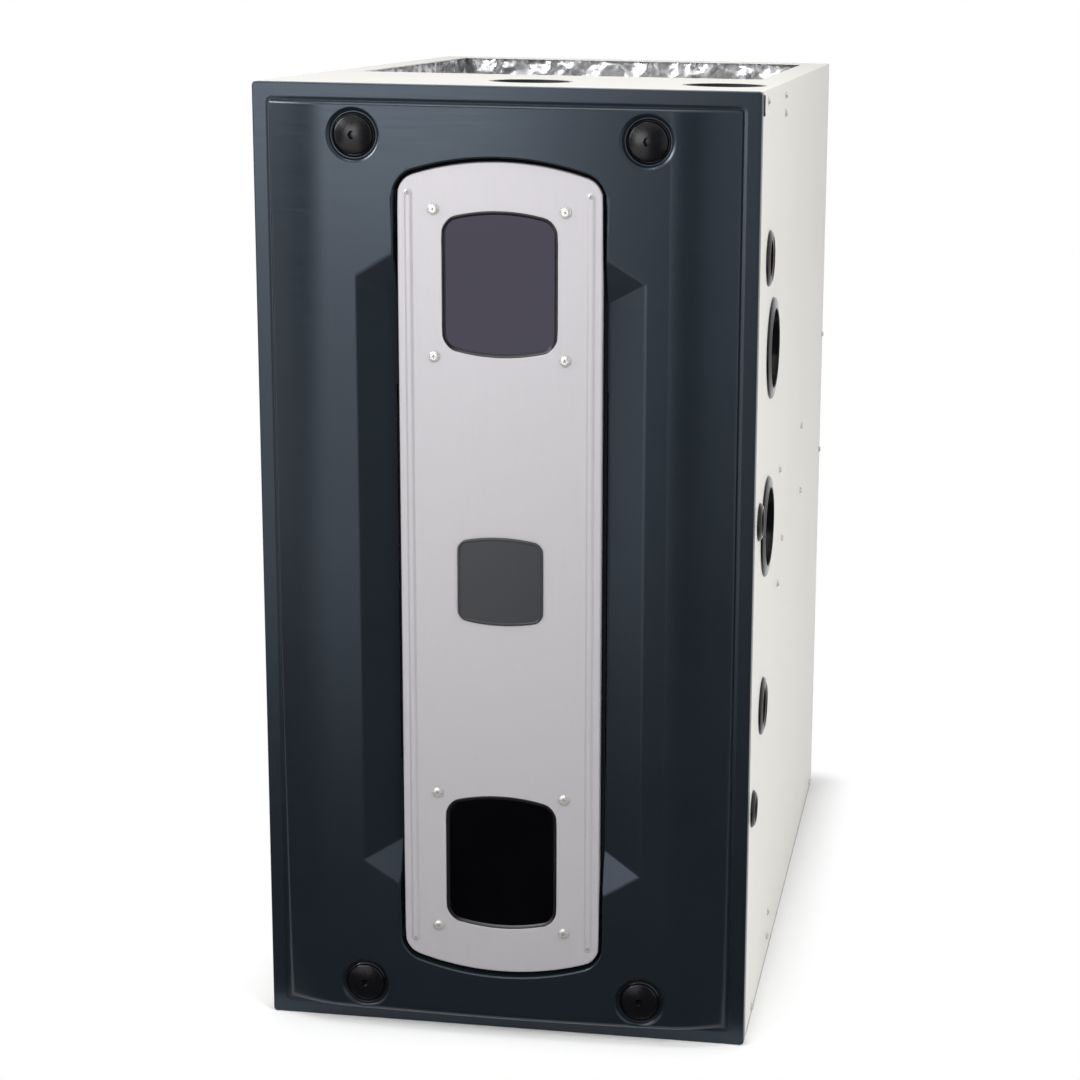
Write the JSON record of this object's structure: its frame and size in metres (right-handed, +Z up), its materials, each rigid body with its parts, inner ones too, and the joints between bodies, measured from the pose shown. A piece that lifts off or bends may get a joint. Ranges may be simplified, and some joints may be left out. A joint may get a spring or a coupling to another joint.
{
  "type": "forced air gas furnace",
  "caption": "Upflow forced air gas furnace: tall sheet-metal cabinet with a sculpted grey lift-off door, bright centre strip with sight windows, and open duct top.",
  "frame": {"origin": "middle of the footprint, at floor level", "axes": "+X the viewer's right, -Y the door side, +Z up"},
  "size_m": [0.4536, 0.73, 0.8636],
  "materials": {
    "casing_paint": "satin off-white baked enamel on sheet steel",
    "galvanised_sheet": "galvanised sheet steel, dull spangle",
    "door_grey": "smooth satin blue-grey",
    "foam_gasket": "closed-cell foam",
    "bright_strip": "satin silver, fine brushed",
    "smoked_window": "smoked clear plastic",
    "dark_trim": "gloss black moulding",
    "badge_grey": "bare dark grey plate",
    "knob_plastic": "fine-grained dark plastic",
    "zinc_screw": "zinc plated",
    "plug_black": "gloss black moulding",
    "foil": "crinkled foil facing on glass-fibre blanket",
    "pvc_pipe": "white plastic pipe",
    "socket_rubber": "moulded rubber",
    "aluminised_steel": "aluminised steel, heat-dulled",
    "coil_aluminium": "thin flat fins",
    "dark_moulding": "glass-filled dark plastic",
    "cast_aluminium": "die-cast",
    "black_pipe": "black iron pipe",
    "ceramic": "unglazed ceramic",
    "motor_enamel": "dark baked enamel",
    "board_green": "solder-masked circuit board",
    "trap_plastic": "natural plastic",
    "switch_plastic": "white plastic",
    "button_red": "red plastic",
    "shaft_steel": "ground steel"
  },
  "bodies": {
    "cabinet": {"cabinet_wrapper": "casing_paint", "top_plate": "casing_paint", "base_pan": "casing_paint", "blower_deck": "galvanised_sheet", "vestibule_panel": "galvanised_sheet", "foil_insulation": "foil", "latch_receivers": "galvanised_sheet", "vent_hole_plugs": "plug_black", "gas_entry_grommets": "plug_black", "drain_entry_grommets": "plug_black", "wiring_bushings": "plug_black", "casing_screws": "zinc_screw", "vent_socket": "socket_rubber", "intake_socket": "socket_rubber", "vent_pipe": "pvc_pipe", "exchanger_tubes": "aluminised_steel", "coil_header": "aluminised_steel", "secondary_coil": "coil_aluminium", "collector_box": "dark_moulding", "burner_box": "galvanised_sheet", "burners": "aluminised_steel", "manifold": "black_pipe", "gas_valve": "cast_aluminium", "igniter": "ceramic", "flame_sensor": "ceramic", "rollout_switches": "dark_moulding", "pressure_switch": "dark_moulding", "inducer_housing": "dark_moulding", "inducer_motor": "motor_enamel", "condensate_trap": "trap_plastic", "control_panel": "galvanised_sheet", "control_board": "board_green", "transformer": "motor_enamel", "door_switch": "switch_plastic", "blower_housing": "galvanised_sheet", "blower_sides": "galvanised_sheet", "blower_motor": "motor_enamel"},
    "door": {"door_panel": "door_grey", "door_liner": "galvanised_sheet", "door_gasket": "foam_gasket", "front_strip": "bright_strip", "upper_window": "smoked_window", "lower_window": "smoked_window", "window_bezels": "dark_trim", "window_screws": "zinc_screw", "badge_plate": "badge_grey", "latch_rings": "dark_trim"},
    "knob_top_left": {"latch_knob_top_left": "knob_plastic"},
    "knob_top_right": {"latch_knob_top_right": "knob_plastic"},
    "knob_bottom_left": {"latch_knob_bottom_left": "knob_plastic"},
    "knob_bottom_right": {"latch_knob_bottom_right": "knob_plastic"},
    "blower_rotor": {"blower_wheel": "galvanised_sheet", "blower_blades": "galvanised_sheet", "blower_shaft": "shaft_steel"},
    "inducer_rotor": {"inducer_wheel": "coil_aluminium"},
    "gas_valve_knob": {"gas_valve_knob": "knob_plastic"},
    "reset_button_left": {"rollout_reset_left": "button_red"},
    "reset_button_right": {"rollout_reset_right": "button_red"},
    "door_switch_plunger": {"door_switch_plunger": "button_red"}
  },
  "joints": [
    {"name": "door_lift_off", "type": "slide", "parent": "cabinet", "child": "door", "axis": [0, -1, 0], "range_m": [0, 0.2]},
    {"name": "knob_top_left_turn", "type": "hinge", "parent": "door", "child": "knob_top_left", "pos_m": [-0.128, -0.36, 0.8208], "axis": [0, 1, 0], "range_deg": [0, 90]},
    {"name": "knob_top_right_turn", "type": "hinge", "parent": "door", "child": "knob_top_right", "pos_m": [0.128, -0.36, 0.8208], "axis": [0, 1, 0], "range_deg": [0, 90]},
    {"name": "knob_bottom_left_turn", "type": "hinge", "parent": "door", "child": "knob_bottom_left", "pos_m": [-0.128, -0.36, 0.0428], "axis": [0, 1, 0], "range_deg": [0, 90]},
    {"name": "knob_bottom_right_turn", "type": "hinge", "parent": "door", "child": "knob_bottom_right", "pos_m": [0.128, -0.36, 0.0428], "axis": [0, 1, 0], "range_deg": [0, 90]},
    {"name": "blower_spin", "type": "hinge", "parent": "cabinet", "child": "blower_rotor", "pos_m": [0, 0.06, 0.2], "axis": [1, 0, 0], "continuous": true},
    {"name": "inducer_spin", "type": "hinge", "parent": "cabinet", "child": "inducer_rotor", "pos_m": [0.04, -0.23, 0.508], "axis": [0, 1, 0], "continuous": true},
    {"name": "gas_valve_turn", "type": "hinge", "parent": "cabinet", "child": "gas_valve_knob", "pos_m": [-0.176, -0.31, 0.686], "axis": [0, 1, 0], "range_deg": [0, 90]},
    {"name": "reset_left_press", "type": "slide", "parent": "cabinet", "child": "reset_button_left", "axis": [0, 0, -1], "range_m": [0, 0.002], "stiffness_N_per_m": 200},
    {"name": "reset_right_press", "type": "slide", "parent": "cabinet", "child": "reset_button_right", "axis": [0, 0, -1], "range_m": [0, 0.002], "stiffness_N_per_m": 200},
    {"name": "door_switch_press", "type": "slide", "parent": "cabinet", "child": "door_switch_plunger", "axis": [0, 1, 0], "range_m": [0, 0.002], "stiffness_N_per_m": 300}
  ]
}
